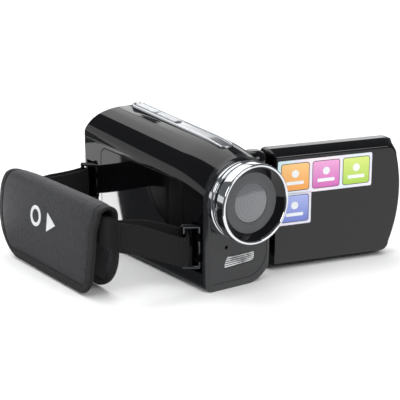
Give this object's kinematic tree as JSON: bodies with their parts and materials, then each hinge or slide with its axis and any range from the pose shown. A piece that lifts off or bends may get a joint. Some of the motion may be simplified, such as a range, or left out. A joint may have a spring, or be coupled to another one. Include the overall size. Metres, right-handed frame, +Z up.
{
  "type": "camcorder",
  "caption": "Handheld camcorder with a deep round-topped body, stepped chrome lens barrel, swing-out screen that flips over, long top trim with keys and a padded hand strap.",
  "frame": {"origin": "mouth of the tripod socket in the bottom face", "axes": "+Z up, the lens looks along -Y, +X is the side that the screen swings out of"},
  "size_m": [0.1501, 0.1173, 0.066],
  "materials": {
    "black_gloss_plastic": "polished black moulding",
    "grey_bezel_plastic": "gloss grey moulding",
    "grey_front_plastic": "gloss dark grey moulding",
    "chrome_plate": "bright plated",
    "dark_chrome": "smoked plated groove",
    "dark_satin_plastic": "fine satin moulding",
    "smoked_lens": "coated glass",
    "circuit_board": "solder mask",
    "clear_window": "clear moulding",
    "lamp_resin": "clear resin",
    "steel_part": "plated steel",
    "silver_plate": "fine satin",
    "silver_key": "silver lacquer",
    "red_key": "gloss red",
    "green_lamp": "clear green",
    "card_plastic": "fine satin",
    "cell_jacket": "printed jacket without lettering",
    "display_glass": "dark display glass",
    "pale_label": "pale foil with coloured tiles",
    "black_wire": "black lacquered wire",
    "webbing": "woven ribbed webbing",
    "grained_leather": "grained leatherette, bound edge"
  },
  "bodies": {
    "body": {"right_shell": "black_gloss_plastic", "left_shell": "black_gloss_plastic", "front_bezel": "grey_bezel_plastic", "front_panel": "grey_front_plastic", "rear_panel": "black_gloss_plastic", "lens_base_ring": "chrome_plate", "lens_groove_ring": "dark_chrome", "lens_front_ring": "chrome_plate", "lens_dish": "dark_satin_plastic", "lens_glass": "smoked_lens", "lens_cell": "dark_satin_plastic", "sensor_board": "circuit_board", "led_window": "clear_window", "led_emitters": "lamp_resin", "mic_capsule": "steel_part", "top_trim": "chrome_plate", "top_plate": "silver_plate", "status_lamp": "green_lamp", "speaker": "dark_satin_plastic", "usb_port": "steel_part", "card_socket": "steel_part", "tripod_insert": "steel_part", "main_board": "circuit_board", "battery_tray": "dark_satin_plastic", "battery_cells": "cell_jacket", "battery_contacts": "steel_part", "hinge_pin": "steel_part", "front_ring": "chrome_plate", "rear_ring": "black_wire", "front_webbing": "webbing", "rear_webbing": "webbing", "hand_pad": "grained_leather", "case_screws": "steel_part"},
    "rocker": {"zoom_rocker": "silver_key"},
    "shutter": {"shutter_button": "silver_key"},
    "record": {"record_button": "red_key"},
    "mode": {"mode_button": "silver_key"},
    "menu": {"menu_key": "silver_key"},
    "up": {"up_key": "silver_key"},
    "down": {"down_key": "silver_key"},
    "play": {"play_key": "silver_key"},
    "card": {"memory_card": "card_plastic"},
    "door": {"battery_door": "black_gloss_plastic"},
    "swing": {"hinge_block": "dark_satin_plastic"},
    "screen": {"tilt_shaft": "steel_part", "lcd_cover": "black_gloss_plastic", "lcd_frame": "black_gloss_plastic", "lcd_panel": "display_glass", "lcd_window": "display_glass", "lcd_label": "pale_label"}
  },
  "joints": [
    {"name": "lcd_swing", "type": "hinge", "parent": "body", "child": "swing", "pos_m": [0.015, -0.037, 0.02695], "axis": [0, 0, 1], "range_deg": [0, 102.5]},
    {"name": "lcd_tilt", "type": "hinge", "parent": "swing", "child": "screen", "pos_m": [0.02052, -0.0352, 0.02695], "axis": [0.9763, -0.2164, 0], "range_deg": [0, 180]},
    {"name": "battery_door_lift", "type": "slide", "parent": "body", "child": "door", "axis": [-1, 0, 0], "range_m": [0, 0.008]},
    {"name": "memory_card_slide", "type": "slide", "parent": "body", "child": "card", "axis": [0, 1, 0], "range_m": [0, 0.012]},
    {"name": "zoom_rock", "type": "hinge", "parent": "body", "child": "rocker", "pos_m": [0, 0.0045, 0.06157], "axis": [1, 0, 0], "range_deg": [-4, 4], "stiffness_Nm_per_rad": 0.03},
    {"name": "shutter_press", "type": "slide", "parent": "body", "child": "shutter", "axis": [0, 0.0837, -0.9965], "range_m": [0, 0.0007], "stiffness_N_per_m": 400, "springref_m": -0.0003},
    {"name": "record_press", "type": "slide", "parent": "body", "child": "record", "axis": [0, -1, 0], "range_m": [0, 0.0008], "stiffness_N_per_m": 400, "springref_m": -0.0003},
    {"name": "mode_press", "type": "slide", "parent": "body", "child": "mode", "axis": [0, -1, 0], "range_m": [0, 0.0006], "stiffness_N_per_m": 400, "springref_m": -0.0003},
    {"name": "menu_press", "type": "slide", "parent": "body", "child": "menu", "axis": [-1, 0, 0], "range_m": [0, 0.0006], "stiffness_N_per_m": 400, "springref_m": -0.0003},
    {"name": "up_press", "type": "slide", "parent": "body", "child": "up", "axis": [-1, 0, 0], "range_m": [0, 0.0006], "stiffness_N_per_m": 400, "springref_m": -0.0003},
    {"name": "down_press", "type": "slide", "parent": "body", "child": "down", "axis": [-1, 0, 0], "range_m": [0, 0.0006], "stiffness_N_per_m": 400, "springref_m": -0.0003},
    {"name": "play_press", "type": "slide", "parent": "body", "child": "play", "axis": [-1, 0, 0], "range_m": [0, 0.0006], "stiffness_N_per_m": 400, "springref_m": -0.0003}
  ]
}
